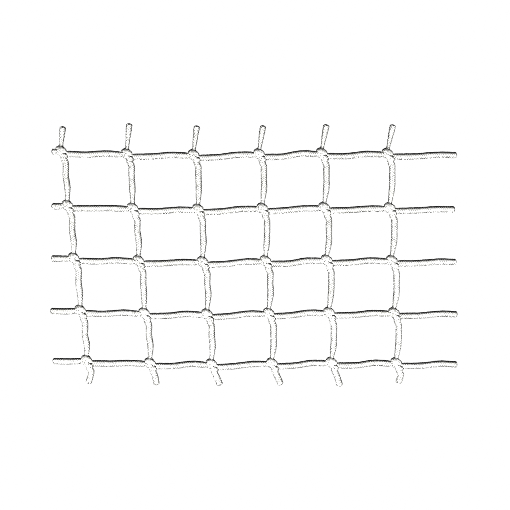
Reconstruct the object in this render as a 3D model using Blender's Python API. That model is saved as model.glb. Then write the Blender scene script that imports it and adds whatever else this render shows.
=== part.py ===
"""Tennis netting: a panel of square-mesh knotted net, hanging from its top row.

The net is tied from braided twine. Each twine runs down the panel in steps, across one mesh and
down one mesh, and every crossing is a sheet bend. The twine that comes down makes the bight and
leaves to the right. The twine that comes in from the left goes up through the bight, round behind
its neck and under itself, and leaves downwards.

A bar is the netting maker's word for the twine between two knots. Each bar is a solid of its own
that carries its half of the knot at its far end: an across bar carries the wrap, and a drop bar
carries the bight. The net folds just below each row of knots, so each row of bars and the drop
bars above it turn as one strip about that line.

Frame: +X across the net, +Y through it to the back, +Z up. The origin is the middle of the top
row's middle bar. Metres.
"""

import math

import bpy
from mathutils import Vector

# ---------------------------------------------------------------------------------------------
# Driving dimensions
# ---------------------------------------------------------------------------------------------
TWINE_RADIUS = 0.0021
ACROSS = (0.0452, 0.0459, 0.0450, 0.0430, 0.0452)  # knot to knot along the top row
DOWN = (0.0373, 0.0361, 0.0360, 0.0344)  # knot to knot from row to row
RISE = (0.0023, 0.0004, -0.0003, 0.0003, 0.0008, 0.0005)  # each column's knots above their row
COLUMNS = len(RISE)
ROWS = len(DOWN) + 1

# Hanging shape: the columns drift to the right on the way down, most at the left edge.
DRIFT = 0.0176
DRIFT_AT_RIGHT = 0.32
DRIFT_REACH = 2.6
BAR_WOBBLE = 0.0003
DROP_SWAY = ((0.5, 0.0005),)  # how far down, and how far right
ACROSS_ARCH = ((0.33, -0.0002), (0.70, 0.0006))  # how far along, and how far up

# Cut edges of the panel.
LEFT_CUT = -0.1209
RIGHT_CUT = 0.1554
TOP_CUT = 0.0204
BOTTOM_CUT = -0.1561
CUT_SCATTER = 0.0012
TOP_LEAN = (0.0013, 0.0018, 0.0023, 0.0028, 0.0033, 0.0038)  # how far right each cut end leans
BOTTOM_LEAN = (-0.0018, 0.0012, 0.0024, 0.0026, 0.0024, -0.0016)

# Fold lines, a little below each row of knots but the last.
FOLD_DROP = 0.0100
FOLD_GAP = 0.0018
FOLD_TAPER = 0.0020
FOLD_END_RADIUS = 0.0012

# The knot. Tight twine is pressed thin in a knot, and one unit of its routes is that diameter.
UNIT = 0.0020
KNOT_RADIUS = 0.0008
KNOT_CORE = (-0.75, 0.0, 0.35)  # the knot sits up and to the left of where its four legs cross
SQUEEZED_WITHIN = 2.5 * UNIT
FULL_BEYOND = 3.9 * UNIT
EXIT_GAP = 0.0004  # between a bight's way out and the bar that goes on from it

# Knot routes as (right, near, up) in units from where the legs cross, near being to the front.
BIGHT_ROUTE = (
    (-0.9, 0.0, 3.0),
    (-1.0, 0.3, 2.0),
    (-1.5, 0.3, 0.9),
    (-1.5, -0.2, -0.3),
    (0.1, -0.4, 0.0),
    (0.9, -0.3, -0.3),
    (2.2, -0.1, -0.4),
)
WRAP_ROUTE = (
    (-3.2, -0.4, 0.4),
    (-1.5, -0.9, 0.7),
    (-0.3, 0.0, 0.9),
    (-0.9, 1.0, 0.0),
    (-0.2, 1.7, -1.2),
    (0.6, 1.4, -1.2),
    (0.8, -0.5, -1.3),
    (0.1, -1.5, -0.6),
    (-0.4, -1.4, 1.3),
    (-1.6, -1.0, 2.0),
    (-2.3, 0.3, 1.6),
    (-1.8, 1.2, 1.8),
    (-0.3, 1.6, 1.0),
    (0.5, 0.8, 0.4),
    (-0.3, 0.4, -1.2),
    (0.2, 0.2, -2.6),
    (0.8, 0.0, -3.8),
)
WAY_DOWN = 0.9  # how far right of the crossing the wrap leaves it

# How finely the twine is drawn.
CURVE_STEPS = 12
KNOT_SPACING = 0.0014
BAR_SPACING = 0.0065
TUBE_RESOLUTION = 1  # six sides

RIGHT = Vector((1, 0, 0))
UP = Vector((0, 0, 1))
COLOUR = (0.88, 0.88, 0.86, 1.0)
ROUGHNESS = 0.75


# ---------------------------------------------------------------------------------------------
# Places
# ---------------------------------------------------------------------------------------------
def scatter(*key):
    """A number from -1 to 1 that is always the same for the same key."""
    mixed = sum(k * 12.9898 * (i + 1) for i, k in enumerate(key)) + 78.233
    return 2 * (math.sin(mixed) * 43758.5453 % 1) - 1


def row_level(row):
    return -sum(DOWN[:row])


def fold_level(row):
    return row_level(row) - FOLD_DROP


def crossing_at(column, row):
    """Where a knot's four legs cross. Columns and rows count from 0 at the top left."""
    half = COLUMNS // 2
    x = sum(ACROSS[:column]) - sum(ACROSS[: half - 1]) - ACROSS[half - 1] / 2
    share = DRIFT_AT_RIGHT + (1 - DRIFT_AT_RIGHT) * math.exp(-((column / DRIFT_REACH) ** 2))
    drift = DRIFT * share * row / (ROWS - 1)
    return Vector((x + drift, 0, row_level(row) + RISE[column]))


def route_at(route, column, row):
    """A knot route in its place, in metres."""
    crossing = crossing_at(column, row)
    return [crossing + UNIT * Vector((right, -near, up)) for right, near, up in route]


def knot_core(column, row):
    return route_at((KNOT_CORE,), column, row)[0]


def bowed(start, end, bows, side, *key):
    """Points between two ends, set off to one side by the bows, each a little unlike the next."""
    made = []
    for i, (share, off) in enumerate(bows):
        own = off * (1 + 0.4 * scatter(i, 1, *key))
        wobble = BAR_WOBBLE * Vector((scatter(i, 2, *key), scatter(i, 3, *key), scatter(i, 4, *key)))
        made.append(start.lerp(end, share) + own * side + wobble)
    return made


# ---------------------------------------------------------------------------------------------
# Twine
# ---------------------------------------------------------------------------------------------
def smoothed(points):
    """A smooth line through all the points."""
    before = 2 * points[0] - points[1]
    after = 2 * points[-1] - points[-2]
    through = [before, *points, after]
    made = []
    for a, b, c, d in zip(through, through[1:], through[2:], through[3:]):
        for i in range(CURVE_STEPS):
            t = i / CURVE_STEPS
            bend = (2 * a - 5 * b + 4 * c - d) * t * t + (3 * b - a - 3 * c + d) * t**3
            made.append((2 * b + (c - a) * t + bend) / 2)
    return [*made, points[-1]]


def thinned(points, cores):
    """Keeps points close together in a knot and far apart along a bar."""
    kept = [points[0]]
    for point in points[1:-1]:
        in_knot = min((point - core).length for core in cores) < FULL_BEYOND
        spacing = KNOT_SPACING if in_knot else BAR_SPACING
        if (point - kept[-1]).length >= spacing and (points[-1] - point).length > spacing / 2:
            kept.append(point)
    return [*kept, points[-1]]


def radius_at(point, cores):
    """Pressed thin inside a knot and full beyond it."""
    away = min((point - core).length for core in cores)
    t = min(1, max(0, (away - SQUEEZED_WITHIN) / (FULL_BEYOND - SQUEEZED_WITHIN)))
    return KNOT_RADIUS + (TWINE_RADIUS - KNOT_RADIUS) * t * t * (3 - 2 * t)


def twine_object(name, points, cores, collection, material, tapered=False):
    """One length of twine. A tapered one starts at a fold line with a narrow end."""
    line = thinned(smoothed(points), cores)
    if tapered:
        line.insert(1, line[0] + Vector((0, 0, -FOLD_TAPER)))
    curve = bpy.data.curves.new(name, "CURVE")
    curve.dimensions = "3D"
    curve.bevel_depth = TWINE_RADIUS
    curve.bevel_resolution = TUBE_RESOLUTION
    curve.use_fill_caps = True
    spline = curve.splines.new("POLY")
    spline.points.add(len(line) - 1)
    for slot, point in zip(spline.points, line):
        slot.co = (*point, 1)
        slot.radius = radius_at(point, cores) / TWINE_RADIUS
    if tapered:
        spline.points[0].radius = FOLD_END_RADIUS / TWINE_RADIUS
    spline.use_smooth = True
    curve.materials.append(material)
    made = bpy.data.objects.new(name, curve)
    collection.objects.link(made)


# ---------------------------------------------------------------------------------------------
# The two halves of a knot, each with its way out
# ---------------------------------------------------------------------------------------------
def bight(column, row):
    """In the last column the twine goes on to the panel's right edge."""
    points = route_at(BIGHT_ROUTE, column, row)
    if column < COLUMNS - 1:
        return points
    end = Vector((RIGHT_CUT + CUT_SCATTER * scatter(row, 21), 0, points[-1].z + 0.001))
    return [*points, *bowed(points[-1], end, ACROSS_ARCH, UP, row, 23), end]


def wrap(column, row):
    """The twine goes down to the fold line or, in the last row, to the panel's bottom edge."""
    points = route_at(WRAP_ROUTE, column, row)
    x = crossing_at(column, row).x + WAY_DOWN * UNIT
    if row < ROWS - 1:
        return [*points, Vector((x, 0, fold_level(row) + FOLD_GAP))]
    level = BOTTOM_CUT + CUT_SCATTER * scatter(column, 25)
    return [*points, Vector((x + BOTTOM_LEAN[column], 0, level))]


# ---------------------------------------------------------------------------------------------
# The lengths of twine
# ---------------------------------------------------------------------------------------------
def top_end(column):
    points = bight(column, 0)
    level = TOP_CUT + CUT_SCATTER * scatter(column, 27)
    start = Vector((points[0].x + TOP_LEAN[column], 0, level))
    return [start, *points], [knot_core(column, 0)]


def left_end(row):
    points = wrap(0, row)
    start = Vector((LEFT_CUT + CUT_SCATTER * scatter(row, 29), 0, points[0].z))
    if points[0].x - start.x < 2 * UNIT:
        return [start, *points[1:]], [knot_core(0, row)]
    middle = bowed(start, points[0], ((0.5, 0),), UP, row, 31)
    return [start, *middle, *points], [knot_core(0, row)]


def across_bar(column, row):
    points = wrap(column + 1, row)
    start = route_at(BIGHT_ROUTE, column, row)[-1] + Vector((EXIT_GAP, 0, 0))
    cores = [knot_core(column, row), knot_core(column + 1, row)]
    return [start, *bowed(start, points[0], ACROSS_ARCH, UP, column, row, 33), *points], cores


def drop_bar(column, row):
    points = bight(column, row + 1)
    start = Vector((crossing_at(column, row).x + WAY_DOWN * UNIT, 0, fold_level(row)))
    below = start + Vector((0, 0, -2 * FOLD_TAPER))
    cores = [knot_core(column, row + 1)]
    bows = bowed(below, points[0], DROP_SWAY, RIGHT, column, row, 35)
    return [start, below, *bows, *points], cores


# ---------------------------------------------------------------------------------------------
# The panel
# ---------------------------------------------------------------------------------------------
def white_twine():
    made = bpy.data.materials.new("white_twine")
    made.use_nodes = True
    shader = made.node_tree.nodes["Principled BSDF"]
    shader.inputs["Base Color"].default_value = COLOUR
    shader.inputs["Roughness"].default_value = ROUGHNESS
    shader.inputs["Metallic"].default_value = 0
    return made


for old in list(bpy.data.objects):
    bpy.data.objects.remove(old)
panel = bpy.data.collections.new("tennis_net")
bpy.context.scene.collection.children.link(panel)
twine = white_twine()

for column in range(COLUMNS):
    twine_object(f"top_end_{column + 1}", *top_end(column), panel, twine)
for row in range(ROWS):
    twine_object(f"row_{row + 1}_left_end", *left_end(row), panel, twine)
    for column in range(COLUMNS - 1):
        twine_object(f"row_{row + 1}_bar_{column + 1}", *across_bar(column, row), panel, twine)
for row in range(ROWS - 1):
    for column in range(COLUMNS):
        name = f"drop_{row + 1}_bar_{column + 1}"
        twine_object(name, *drop_bar(column, row), panel, twine, tapered=True)
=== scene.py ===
"""Looks for the panel of tennis netting: braided twine tied in sheet bends, in a white studio."""

import math

import bpy
import numpy as np
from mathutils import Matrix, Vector


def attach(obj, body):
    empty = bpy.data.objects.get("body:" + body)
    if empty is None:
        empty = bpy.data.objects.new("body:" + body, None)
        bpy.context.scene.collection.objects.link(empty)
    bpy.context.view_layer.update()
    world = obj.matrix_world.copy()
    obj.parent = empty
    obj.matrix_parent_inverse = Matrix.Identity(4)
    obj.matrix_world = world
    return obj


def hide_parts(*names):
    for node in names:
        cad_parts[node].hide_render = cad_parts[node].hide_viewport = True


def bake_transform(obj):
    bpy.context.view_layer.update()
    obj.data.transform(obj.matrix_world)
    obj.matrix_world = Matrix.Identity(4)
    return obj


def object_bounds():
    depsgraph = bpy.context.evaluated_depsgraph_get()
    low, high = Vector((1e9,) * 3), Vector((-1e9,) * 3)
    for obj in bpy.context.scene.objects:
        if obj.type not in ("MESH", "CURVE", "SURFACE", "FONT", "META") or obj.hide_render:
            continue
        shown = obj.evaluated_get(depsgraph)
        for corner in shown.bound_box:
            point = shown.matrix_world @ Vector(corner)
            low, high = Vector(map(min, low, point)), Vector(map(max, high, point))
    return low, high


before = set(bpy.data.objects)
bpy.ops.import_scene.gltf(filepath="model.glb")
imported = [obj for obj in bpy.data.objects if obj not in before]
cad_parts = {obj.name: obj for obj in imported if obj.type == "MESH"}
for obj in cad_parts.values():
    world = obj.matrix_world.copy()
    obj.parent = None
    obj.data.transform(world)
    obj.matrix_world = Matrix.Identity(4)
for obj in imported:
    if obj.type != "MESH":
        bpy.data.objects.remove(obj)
CAD_LOW, CAD_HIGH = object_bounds()
scene = bpy.context.scene

# ---------------------------------------------------------------------------------------------
# The netting's layout, as in the CAD. Metres.
# ---------------------------------------------------------------------------------------------
TWINE_RADIUS = 0.0021
ACROSS = (0.0452, 0.0459, 0.0450, 0.0430, 0.0452)  # knot to knot along the top row
DOWN = (0.0373, 0.0361, 0.0360, 0.0344)  # knot to knot from row to row
RISE = (0.0023, 0.0004, -0.0003, 0.0003, 0.0008, 0.0005)  # each column's knots above their row
COLUMNS, ROWS = len(RISE), len(DOWN) + 1
DRIFT, DRIFT_AT_RIGHT, DRIFT_REACH = 0.0176, 0.32, 2.6  # columns drift right on the way down
BAR_WOBBLE = 0.0003
BOW_VARIETY = 0.4  # share by which one bar's bow is more or less than the next one's
DROP_SWAY = ((0.5, 0.0005),)  # how far down, and how far right
ACROSS_ARCH = ((0.33, -0.0002), (0.70, 0.0006))  # how far along, and how far up
LEFT_CUT, RIGHT_CUT, TOP_CUT, BOTTOM_CUT, CUT_SCATTER = -0.1209, 0.1554, 0.0204, -0.1561, 0.0012
TOP_LEAN = (0.0013, 0.0018, 0.0023, 0.0028, 0.0033, 0.0038)  # how far right each cut end leans
BOTTOM_LEAN = (-0.0018, 0.0012, 0.0024, 0.0026, 0.0024, -0.0016)
RIGHT_END_RISE = 0.001
FOLD_DROP = 0.0100
RIGHT, UP = np.array((1.0, 0, 0)), np.array((0, 0, 1.0))

# Keys that keep the scatter of one kind of place apart from the others', as in the CAD
AT_RIGHT_END, AT_RIGHT_BAR, AT_BOTTOM_END, AT_TOP_END = 21, 23, 25, 27
AT_LEFT_END, AT_LEFT_BAR, AT_BAR, AT_DROP = 29, 31, 33, 35

# The CAD's twines are cut at a fold line. These run straight on through it, and on straight down to
# a little below it.
STRAIGHT_BELOW_FOLD = 0.004

# ---------------------------------------------------------------------------------------------
# The knot: routes as (right, near, up) in units from where its four legs cross, near being to
# the front. The unit is a little less than the CAD's 2.0 mm, so that the turns press together.
# ---------------------------------------------------------------------------------------------
UNIT = 0.0019
KNOT_RADIUS = 0.00175
KNOT_FLATNESS = 0.75  # share of the routes' depth that is left from front to back
KNOT_CORE = np.array((-0.75, 0, 0.70))  # up and to the left of where the legs cross
SHORT_LEFT_END = 2 * UNIT  # a way from the cut to the first wrap that is too short for its bends
SQUEEZED_WITHIN, FULL_BEYOND = 0.0034, 0.0062  # where the twine is thin and where it is full
PRESSED_WITHIN = 2.4 * UNIT
PRESSED_HALF = np.array((0.0049, 0.0027, 0.0041))  # half the size that the turns are pressed into
PRESSED_FROM = 0.6  # share of that half from which on they are pressed
BIGHT_ROUTE = (
    (-0.9, 0.0, 3.0),
    (-1.0, 0.3, 2.0),
    (-1.5, 0.3, 0.9),
    (-1.5, -0.2, -0.3),
    (0.1, -0.4, 0.0),
    (0.9, -0.3, -0.3),
    (2.2, -0.1, -0.4),
)
WRAP_ROUTE = (
    (-3.2, -0.4, 0.4),
    (-1.5, -0.9, 0.7),
    (-0.3, 0.0, 0.9),
    (-0.9, 1.0, 0.0),
    (-0.2, 1.7, -1.2),
    (0.6, 1.4, -1.2),
    (0.8, -0.5, -1.3),
    (0.1, -1.5, -0.6),
    (-0.4, -1.4, 1.6),
    (-1.6, -1.0, 2.4),
    (-2.3, 0.3, 2.0),
    (-1.8, 1.2, 2.2),
    (-0.3, 1.6, 1.4),
    (0.5, 0.8, 0.4),
    (-0.3, 0.4, -1.2),
    (0.3, 0.1, -2.5),
    (0.9, 0.0, -3.6),
)
WAY_DOWN = 0.9  # how far right of the crossing the wrap leaves it
WAY_OUT_POINTS = 2  # the wrap's last points, which belong to the drop below it

# ---------------------------------------------------------------------------------------------
# The braid: crossings of its strands in columns along the twine
# ---------------------------------------------------------------------------------------------
BRAID_COLUMNS = 10
HALF_PITCH = 0.00064  # half the way from one crossing to the next in a column
BRAID_RELIEF = 0.00022  # depth of the gaps
STRAND_LIFT = 0.35  # how much higher the upper strand lies than the lower one
FILAMENTS = 6  # side by side in a strand
SIDES = 30
RING_SPACING = 0.00032
WAVERS = ((0.02, 0.31, 1), (0.015, 0.83, 2))  # share of the radius, pace along, times the phase
WAVER_PHASE = 1.7
POINTS_PER_SPAN = 16
SMOOTHING_PASSES = 6
DOME_SHARES = (0.35, 0.65, 0.88, 0.98)
DOME_HEIGHT = 0.5  # of a melted cut end, in twine radii
DOME_NARROWING = 0.1


# ---------------------------------------------------------------------------------------------
# Places
# ---------------------------------------------------------------------------------------------
def scatter(*key):
    """A number from -1 to 1, always the same for the same key, as a shader's hash makes it."""
    mixed = sum(k * 12.9898 * (i + 1) for i, k in enumerate(key)) + 78.233
    return 2 * (math.sin(mixed) * 43758.5453 % 1) - 1


def row_level(row):
    return -sum(DOWN[:row])


def fold_level(row):
    return row_level(row) - FOLD_DROP


def crossing_at(column, row):
    half = COLUMNS // 2
    x = sum(ACROSS[:column]) - sum(ACROSS[: half - 1]) - ACROSS[half - 1] / 2
    share = DRIFT_AT_RIGHT + (1 - DRIFT_AT_RIGHT) * math.exp(-((column / DRIFT_REACH) ** 2))
    drift = DRIFT * share * row / (ROWS - 1)
    return np.array((x + drift, 0, row_level(row) + RISE[column]))


def route_at(route, column, row):
    crossing = crossing_at(column, row)
    return [
        crossing + UNIT * np.array((right, -KNOT_FLATNESS * near, up)) for right, near, up in route
    ]


def bowed(start, end, bows, side, *key):
    """Points between two ends, set off to one side by the bows, each a little unlike the next."""
    made = []
    for i, (share, off) in enumerate(bows):
        own = off * (1 + BOW_VARIETY * scatter(i, 1, *key))
        wobble = BAR_WOBBLE * np.array([scatter(i, k, *key) for k in (2, 3, 4)])
        made.append(start + (end - start) * share + own * side + wobble)
    return made


def cut_at(edge, *key):
    """Where a twine is cut, near an edge of the panel."""
    return edge + CUT_SCATTER * scatter(*key)


def eased(share):
    return share * share * (3 - 2 * share)


# ---------------------------------------------------------------------------------------------
# Twines: each is followed from its first cut end to its last, and divided into steps
# ---------------------------------------------------------------------------------------------
def new_step(first, name, bodies, node):
    """A stretch of twine that becomes one piece, from its first route point to its last."""
    return {"first": first, "last": None, "name": name, "bodies": bodies, "nodes": [node]}


def follow(column, row, from_top):
    """Route points of one twine from cut end to cut end, and the steps it is divided into."""
    if from_top:
        entry = route_at(BIGHT_ROUTE, column, row)[0]
        cut = (entry[0] + TOP_LEAN[column], 0, cut_at(TOP_CUT, column, AT_TOP_END))
        points = [np.array(cut)]
        name, node = f"twine_from_top_{column + 1}", f"top_end_{column + 1}"
    else:
        entry = route_at(WRAP_ROUTE, column, row)[0]
        points = [np.array((cut_at(LEFT_CUT, row, AT_LEFT_END), 0, entry[2]))]
        if entry[0] - points[0][0] >= SHORT_LEFT_END:
            points += bowed(points[0], entry, ((0.5, 0),), UP, row, AT_LEFT_BAR)
        name, node = f"twine_from_left_{row + 1}", f"row_{row + 1}_left_end"
    steps = [new_step(0, name, [f"row_{row + 1}"], node)]
    at_bight = from_top
    while True:
        if at_bight:
            points += route_at(BIGHT_ROUTE, column, row)
            if column == COLUMNS - 1:
                level = points[-1][2] + RIGHT_END_RISE
                end = np.array((cut_at(RIGHT_CUT, row, AT_RIGHT_END), 0, level))
                points += [*bowed(points[-1], end, ACROSS_ARCH, UP, row, AT_RIGHT_BAR), end]
                break
            steps[-1]["nodes"].append(f"row_{row + 1}_bar_{column + 1}")
            entry = route_at(WRAP_ROUTE, column + 1, row)[0]
            points += bowed(points[-1], entry, ACROSS_ARCH, UP, column, row, AT_BAR)
            column += 1
        wrap = route_at(WRAP_ROUTE, column, row)
        if not at_bight and wrap[0][0] - points[-1][0] < SHORT_LEFT_END:
            wrap = wrap[1:]
        points += wrap
        x = crossing_at(column, row)[0] + WAY_DOWN * UNIT
        if row == ROWS - 1:
            x += BOTTOM_LEAN[column]
            points += [np.array((x, 0, cut_at(BOTTOM_CUT, column, AT_BOTTOM_END)))]
            break
        way_out = len(points) - 1 - WAY_OUT_POINTS
        steps[-1]["last"] = way_out
        name, node = f"twine_step_{row + 1}_{column + 1}", f"drop_{row + 1}_bar_{column + 1}"
        steps.append(new_step(way_out, name, [f"row_{row + 1}", f"row_{row + 2}"], node))
        fold = np.array((x, 0, fold_level(row)))
        below = fold - STRAIGHT_BELOW_FOLD * UP
        entry = route_at(BIGHT_ROUTE, column, row + 1)[0]
        points += [fold, below, *bowed(below, entry, DROP_SWAY, RIGHT, column, row, AT_DROP)]
        row += 1
        at_bight = True
    steps[-1]["last"] = len(points) - 1
    return np.array(points), steps


def smooth_line(points):
    """A fine line through route points, with the place of each route point along it."""
    through = np.vstack([2 * points[0] - points[1], points, 2 * points[-1] - points[-2]])
    fine, marks = [], []
    for a, b, c, d in zip(through, through[1:], through[2:], through[3:]):
        marks.append(len(fine))
        for t in np.arange(POINTS_PER_SPAN) / POINTS_PER_SPAN:
            bend = (2 * a - 5 * b + 4 * c - d) * t * t + (3 * b - a - 3 * c + d) * t**3
            fine.append((2 * b + (c - a) * t + bend) / 2)
    marks.append(len(fine))
    fine.append(points[-1])
    fine = np.array(fine)
    gone = np.r_[0, np.cumsum(np.linalg.norm(np.diff(fine, axis=0), axis=1))]
    count = int(gone[-1] / RING_SPACING) + 1
    even = np.linspace(0, gone[-1], count)
    line = np.stack([np.interp(even, gone, fine[:, k]) for k in range(3)], axis=1)
    for _ in range(SMOOTHING_PASSES):
        line[1:-1] += 0.5 * ((line[:-2] + line[2:]) / 2 - line[1:-1])
    return line, [int(round(gone[m] / gone[-1] * (count - 1))) for m in marks]


CORES = [crossing_at(c, r) + UNIT * KNOT_CORE for r in range(ROWS) for c in range(COLUMNS)]


def from_knots(line):
    return np.min([np.linalg.norm(line - core, axis=1) for core in CORES], axis=0)


def pressed(rings, line, hold):
    """Rings with the outer turns of each knot pressed in on one another, into a rounded knot."""
    nearest = np.argmin([np.linalg.norm(line - core, axis=1) for core in CORES], axis=0)
    cores = np.array(CORES)[nearest][:, None]
    off = rings - cores
    reach = np.linalg.norm(off / PRESSED_HALF, axis=2)
    spare = 1 - PRESSED_FROM
    kept = PRESSED_FROM + spare * np.tanh(np.maximum(reach - PRESSED_FROM, 0) / spare)
    share = np.where(reach > PRESSED_FROM, kept / reach, 1)
    return cores + off * (1 + hold[:, None] * (share - 1))[:, :, None]


def radii_along(line):
    share = (from_knots(line) - SQUEEZED_WITHIN) / (FULL_BEYOND - SQUEEZED_WITHIN)
    return KNOT_RADIUS + (TWINE_RADIUS - KNOT_RADIUS) * eased(np.clip(share, 0, 1))


def frames_along(line):
    """Tangents and two cross directions that don't twist along the line."""
    tangents = np.gradient(line, axis=0)
    tangents /= np.linalg.norm(tangents, axis=1)[:, None]
    side = np.cross(tangents[0], (0, 1.0, 0))
    sides = []
    for t in tangents:
        side = side - (side @ t) * t
        side = side / np.linalg.norm(side)
        sides.append(side)
    sides = np.array(sides)
    return tangents, sides, np.cross(tangents, sides)


def turn_to_front(line, sides, others):
    """How far to turn the braid at each ring, so that its crossings face the front in a bar."""
    step = 2 * np.pi / BRAID_COLUMNS
    faces = np.arctan2(-others[:, 1], -sides[:, 1])
    in_bar = from_knots(line) > FULL_BEYOND
    edges = np.flatnonzero(np.diff(np.r_[0, in_bar, 0].astype(int)))
    places, turns = [], []
    for first, after in zip(edges[::2], edges[1::2]):
        turn = (faces[(first + after) // 2] + step / 2) % step - step / 2
        places += [first, after - 1]
        turns += [turn, turn]
    return np.interp(np.arange(len(line)), places, turns)


def braid_height(columns, along):
    """Height of the braid's surface from 0 in a gap to about 1 on a strand."""
    a, b = (columns - along) / 2, (columns + along) / 2
    near_a, near_b = np.round(a), np.round(b)
    over = 1 - 2 * np.mod(near_a + near_b, 2)
    across_a, across_b = np.cos(np.pi * (a - near_a)), np.cos(np.pi * (b - near_b))
    rising = across_a + STRAND_LIFT * over * across_b
    falling = across_b - STRAND_LIFT * over * across_a
    return np.maximum(rising, falling) / (1 + STRAND_LIFT)


def braid_uvs(ring_along):
    """Each face corner's place in the braid: columns round the twine, half pitches along it."""
    column = np.arange(SIDES) * BRAID_COLUMNS / SIDES
    shape = (len(ring_along) - 1, SIDES)
    low = np.broadcast_to(column, shape)
    high = low + BRAID_COLUMNS / SIDES
    near = np.broadcast_to(ring_along[:-1, None], shape)
    far = np.broadcast_to(ring_along[1:, None], shape)
    us = np.stack([low, low, high, high], axis=-1).reshape(-1)
    vs = np.stack([near, far, far, near], axis=-1).reshape(-1)
    us = np.r_[us, column, column[::-1]]
    vs = np.r_[vs, np.full(SIDES, ring_along[0]), np.full(SIDES, ring_along[-1])]
    return np.stack([us, vs], axis=1)


def twine_mesh(name, rings, ring_along, material):
    """A closed tube through rings of points, with the braid's own coordinates as a UV map."""
    count = len(rings)
    index = np.arange(count * SIDES).reshape(count, SIDES)
    turned = np.roll(index, -1, axis=1)
    quads = np.stack([index[:-1], index[1:], turned[1:], turned[:-1]], axis=-1).reshape(-1, 4)
    mesh = bpy.data.meshes.new(name)
    mesh.vertices.add(count * SIDES)
    mesh.vertices.foreach_set("co", rings.reshape(-1).astype(np.float32))
    corners = np.concatenate([quads.reshape(-1), index[0], index[-1][::-1]])
    mesh.loops.add(len(corners))
    mesh.loops.foreach_set("vertex_index", corners.astype(np.int32))
    mesh.polygons.add(len(quads) + 2)
    starts = np.r_[np.arange(len(quads)) * 4, len(quads) * 4, len(quads) * 4 + SIDES]
    mesh.polygons.foreach_set("loop_start", starts.astype(np.int32))
    mesh.polygons.foreach_set("use_smooth", np.r_[np.ones(len(quads), bool), False, False])
    layer = mesh.uv_layers.new(name="braid")
    layer.data.foreach_set("uv", braid_uvs(ring_along).reshape(-1).astype(np.float32))
    mesh.materials.append(material)
    mesh.update(calc_edges=True)
    mesh.validate()
    made = bpy.data.objects.new(name, mesh)
    scene.collection.objects.link(made)
    return made


def tube_rings(line, phase):
    """Rings of points round a line with the braid's relief, and their places in half pitches."""
    tangents, sides, others = frames_along(line)
    radii = radii_along(line)
    along = np.arange(len(line)) * RING_SPACING / HALF_PITCH
    waver = 1 + sum(size * np.sin(along * pace + turn * phase) for size, pace, turn in WAVERS)
    angle = 2 * np.pi * np.arange(SIDES) / SIDES + turn_to_front(line, sides, others)[:, None]
    columns = np.arange(SIDES) * BRAID_COLUMNS / SIDES
    relief = BRAID_RELIEF * (braid_height(columns[None, :], along[:, None]) - 1)
    reach = (radii * waver)[:, None] + relief * (radii / TWINE_RADIUS)[:, None]
    out = np.cos(angle)[:, :, None] * sides[:, None] + np.sin(angle)[:, :, None] * others[:, None]
    return line[:, None] + reach[:, :, None] * out, along, tangents


def rounded_end(ring, centre, tangent):
    """Closes a cut end over a short dome, as a hot knife leaves it."""
    made = []
    for share in DOME_SHARES:
        smaller = (ring - centre) * math.sqrt(1 - share**2) * (1 - DOME_NARROWING * share)
        made.append(centre + smaller + tangent * DOME_HEIGHT * TWINE_RADIUS * share)
    return made


def build_twine(number, column, row, from_top, material):
    """One twine from cut end to cut end, with a piece for each of its steps."""
    points, steps = follow(column, row, from_top)
    line, marks = smooth_line(points)
    rings, along, tangents = tube_rings(line, number * WAVER_PHASE)
    hold = np.interp(np.arange(len(line)), marks, from_knots(points) < PRESSED_WITHIN)
    rings = pressed(rings, line, eased(hold))
    dome_size = len(DOME_SHARES)
    for step in steps:
        i, j = marks[step["first"]], marks[step["last"]] + 1
        shown, places = list(rings[i:j]), list(along[i:j])
        if step["first"] == 0:
            dome = rounded_end(rings[0], line[0], -tangents[0])
            shown, places = [*dome[::-1], *shown], [*([along[0]] * dome_size), *places]
        if step["last"] == len(points) - 1:
            dome = rounded_end(rings[-1], line[-1], tangents[-1])
            shown, places = [*shown, *dome], [*places, *([along[-1]] * dome_size)]
        piece = twine_mesh(step["name"], np.array(shown), np.array(places), material)
        if len(step["bodies"]) == 1:
            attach(piece, step["bodies"][0])
        else:
            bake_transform(piece)
            row += 1
        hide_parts(*step["nodes"])


# ---------------------------------------------------------------------------------------------
# Materials
# ---------------------------------------------------------------------------------------------
# Painted shade: the braid's gaps and the flanks of its lower strands are painted darker, as shade
# falls there; the crests keep the twine's own white.
GAP_PAINTED_SHADE, FLANK_PAINTED_SHADE, CREST_COLOUR = (0.66, 0.66, 0.66), (0.92, 0.92, 0.915), (1, 1, 1)
GAP_HEIGHT, FLANK_HEIGHT, CREST_HEIGHT = 0.22, 0.50, 1.0
BLOTCH_COLOUR, CLEAN_COLOUR = (0.955, 0.955, 0.945), (1, 1, 1)
BLOTCH_SCALE, BLOTCH_DETAIL, FUZZ_SCALE, FUZZ_DETAIL = 60.0, 3.0, 2600.0, 2.0
FILAMENT_BUMP, FUZZ_BUMP, BUMP_STRENGTH = 0.10, 0.35, 0.55
ROUGHNESS, BLOTCH_ROUGHNESS, SPECULAR = 0.58, 0.2, 0.3


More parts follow.
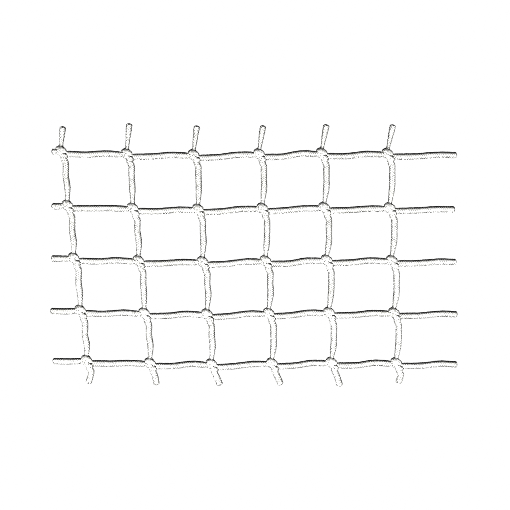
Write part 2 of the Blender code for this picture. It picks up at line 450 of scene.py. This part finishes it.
def braid_material():
    """White synthetic braid: painted shade in its gaps and on the flanks of its lower strands,
    white crests, and fine filaments along each strand.
    """
    made = bpy.data.materials.new("white_braided_twine")
    made.use_nodes = True
    tree = made.node_tree
    shader = tree.nodes["Principled BSDF"]

    def maths(kind, *values):
        node = tree.nodes.new("ShaderNodeMath")
        node.operation = kind
        for slot, value in zip(node.inputs, values):
            if isinstance(value, (int, float)):
                slot.default_value = value
            else:
                tree.links.new(value, slot)
        return node.outputs[0]

    def noise(scale, detail):
        node = tree.nodes.new("ShaderNodeTexNoise")
        node.inputs["Scale"].default_value = scale
        node.inputs["Detail"].default_value = detail
        tree.links.new(spread.outputs["Object"], node.inputs["Vector"])
        return node.outputs[0]

    def ramp(value, *stops):
        """Colours over a value, from (place, colour) stops in rising order."""
        node = tree.nodes.new("ShaderNodeValToRGB")
        elements = node.color_ramp.elements
        for place, _ in stops[1:-1]:
            elements.new(place)
        for element, (place, colour) in zip(elements, stops):
            element.position, element.color = place, (*colour, 1)
        tree.links.new(value, node.inputs[0])
        return node.outputs[0]

    # The braid's surface, as braid_height has it
    place = tree.nodes.new("ShaderNodeUVMap")
    place.uv_map = "braid"
    parts = tree.nodes.new("ShaderNodeSeparateXYZ")
    tree.links.new(place.outputs[0], parts.inputs[0])
    columns, along = parts.outputs[0], parts.outputs[1]
    a = maths("MULTIPLY", maths("SUBTRACT", columns, along), 0.5)
    b = maths("MULTIPLY", maths("ADD", columns, along), 0.5)
    near_a, near_b = maths("ROUND", a), maths("ROUND", b)
    odd = maths("FLOORED_MODULO", maths("ADD", near_a, near_b), 2.0)
    over = maths("SUBTRACT", 1.0, maths("MULTIPLY", odd, 2.0))
    off_a, off_b = maths("SUBTRACT", a, near_a), maths("SUBTRACT", b, near_b)
    across_a = maths("COSINE", maths("MULTIPLY", off_a, math.pi))
    across_b = maths("COSINE", maths("MULTIPLY", off_b, math.pi))
    lift = maths("MULTIPLY", over, STRAND_LIFT)
    rising = maths("ADD", across_a, maths("MULTIPLY", lift, across_b))
    falling = maths("SUBTRACT", across_b, maths("MULTIPLY", lift, across_a))
    height = maths("DIVIDE", maths("MAXIMUM", rising, falling), 1 + STRAND_LIFT)

    # Filaments along whichever strand is on top
    on_a = maths("GREATER_THAN", rising, falling)
    on_b = maths("SUBTRACT", 1.0, on_a)
    off = maths("ADD", maths("MULTIPLY", on_a, off_a), maths("MULTIPLY", on_b, off_b))
    filament = maths("COSINE", maths("MULTIPLY", off, 2 * math.pi * FILAMENTS))

    spread = tree.nodes.new("ShaderNodeTexCoord")
    blotches, fuzz = noise(BLOTCH_SCALE, BLOTCH_DETAIL), noise(FUZZ_SCALE, FUZZ_DETAIL)
    # Painted shade: the colour darkens from the crests down to the gaps of the braid.
    gap, painted_flank_shade = (GAP_HEIGHT, GAP_PAINTED_SHADE), (FLANK_HEIGHT, FLANK_PAINTED_SHADE)
    shade = ramp(height, gap, painted_flank_shade, (CREST_HEIGHT, CREST_COLOUR))
    tint = ramp(blotches, (0.3, BLOTCH_COLOUR), (0.7, CLEAN_COLOUR))
    colour = tree.nodes.new("ShaderNodeMix")
    colour.data_type = "RGBA"
    colour.blend_type = "MULTIPLY"
    colour.inputs["Factor"].default_value = 1.0
    tree.links.new(shade, colour.inputs["A"])
    tree.links.new(tint, colour.inputs["B"])
    tree.links.new(colour.outputs["Result"], shader.inputs["Base Color"])

    threads, fluff = maths("MULTIPLY", filament, FILAMENT_BUMP), maths("MULTIPLY", fuzz, FUZZ_BUMP)
    fine = maths("ADD", threads, fluff)
    bump = tree.nodes.new("ShaderNodeBump")
    bump.inputs["Strength"].default_value = BUMP_STRENGTH
    bump.inputs["Distance"].default_value = BRAID_RELIEF
    tree.links.new(maths("ADD", height, fine), bump.inputs["Height"])
    tree.links.new(bump.outputs[0], shader.inputs["Normal"])
    rough = maths("ADD", ROUGHNESS, maths("MULTIPLY", blotches, BLOTCH_ROUGHNESS))
    tree.links.new(rough, shader.inputs["Roughness"])
    shader.inputs["Specular IOR Level"].default_value = SPECULAR
    return made


# ---------------------------------------------------------------------------------------------
# Studio
# ---------------------------------------------------------------------------------------------
VIEW_MIDDLE = Vector((0.0181, 0, -0.0679))
VIEW_WIDTH = 0.3504  # of the picture, at the net
LENS, SENSOR = 100, 36
FLOOR_DROP, FLOOR_HALF = 0.75, 14.0
FLOOR_GLOW, SURROUND_GLOW = 0.2, 0.18  # for everything but the camera, which sees both as white
LAMP_DISTANCE, LAMP_SIZE = 1.7, 0.7
LAMPS = (  # degrees round from the front, degrees up from level, watts
    ("key_front", -2, -15, 31),
    ("key_back", 178, -15, 31),
    ("fill_right", 90, -10, 8),
    ("fill_left", -90, -10, 8),
)
PRINT_GAMMA = 0.2
PIXEL_FILTER = 1.0
WHITE = (1, 1, 1, 1)


def photo_camera(middle):
    """A long lens square on to the net, which fills the middle of the picture."""
    data = bpy.data.cameras.new("camera")
    data.lens, data.sensor_width = LENS, SENSOR
    made = bpy.data.objects.new("camera", data)
    scene.collection.objects.link(made)
    made.location = middle + Vector((0, -VIEW_WIDTH * data.lens / data.sensor_width, 0))
    made.rotation_euler = (math.radians(90), 0, 0)
    scene.camera = made


def white_to_the_camera(name, glow_elsewhere):
    """Paper white where the camera sees it, and an even glow of the given strength for all else."""
    made = bpy.data.materials.new(name)
    made.use_nodes = True
    nodes, links = made.node_tree.nodes, made.node_tree.links
    nodes.remove(nodes["Principled BSDF"])
    ray, glow = nodes.new("ShaderNodeLightPath"), nodes.new("ShaderNodeEmission")
    strength = nodes.new("ShaderNodeMix")
    strength.inputs["A"].default_value = glow_elsewhere
    strength.inputs["B"].default_value = 1.0
    links.new(ray.outputs["Is Camera Ray"], strength.inputs["Factor"])
    links.new(strength.outputs["Result"], glow.inputs["Strength"])
    links.new(glow.outputs[0], nodes["Material Output"].inputs["Surface"])
    return made


def floor_below(middle):
    """A white floor far below the hanging net. It shows no shadow."""
    mesh = bpy.data.meshes.new("floor")
    half, level = FLOOR_HALF, middle.z - FLOOR_DROP
    outline = ((-half, -half), (half, -half), (half, half), (-half, half))
    corners = [(x, y, level) for x, y in outline]
    mesh.from_pydata(corners, [], [(0, 1, 2, 3)])
    floor = bpy.data.objects.new("floor", mesh)
    scene.collection.objects.link(floor)
    mesh.materials.append(white_to_the_camera("floor", FLOOR_GLOW))


def lamp(name, place, target, power):
    data = bpy.data.lights.new(name, "AREA")
    data.shape = "DISK"
    data.size = LAMP_SIZE
    data.energy = power
    made = bpy.data.objects.new(name, data)
    scene.collection.objects.link(made)
    made.location = place
    made.rotation_euler = (target - place).to_track_quat("-Z", "Y").to_euler()
    made.visible_camera = False


def lamps_round(middle):
    """Soft lamps low in front and behind, and weak ones at the sides."""
    for name, turn, rise, power in LAMPS:
        a, e = math.radians(turn), math.radians(rise)
        way = Vector((math.sin(a) * math.cos(e), -math.cos(a) * math.cos(e), math.sin(e)))
        lamp(name, middle + LAMP_DISTANCE * way, middle, power)


def surround():
    """A surround that the camera sees as paper white, and that lights the net only weakly."""
    world = bpy.data.worlds.new("surround")
    scene.world = world
    world.use_nodes = True
    nodes, links = world.node_tree.nodes, world.node_tree.links
    seen = nodes["Background"]
    seen.inputs["Color"].default_value = WHITE
    fill = nodes.new("ShaderNodeBackground")
    fill.inputs["Color"].default_value = WHITE
    fill.inputs["Strength"].default_value = SURROUND_GLOW
    ray = nodes.new("ShaderNodeLightPath")
    mix = nodes.new("ShaderNodeMixShader")
    links.new(ray.outputs["Is Camera Ray"], mix.inputs[0])
    links.new(fill.outputs[0], mix.inputs[1])
    links.new(seen.outputs[0], mix.inputs[2])
    links.new(mix.outputs[0], nodes["World Output"].inputs["Surface"])


def print_hard():
    """The photograph's contrast: only the twine's edges and the gaps of its braid keep any tone."""
    scene.view_settings.view_transform = "Standard"
    scene.view_settings.gamma = PRINT_GAMMA
    # A denoiser would smooth the braid away, and a narrow filter keeps its dots apart.
    scene.cycles.use_denoising = False
    scene.cycles.filter_width = PIXEL_FILTER


photo_camera(VIEW_MIDDLE)
net_middle = Vector(((CAD_LOW[0] + CAD_HIGH[0]) / 2, 0, (CAD_LOW[2] + CAD_HIGH[2]) / 2))
floor_below(net_middle)
lamps_round(net_middle)
surround()
print_hard()
twine_look = braid_material()
for c in range(COLUMNS):
    build_twine(c, c, 0, True, twine_look)
for r in range(ROWS):
    build_twine(COLUMNS + r, 0, r, False, twine_look)
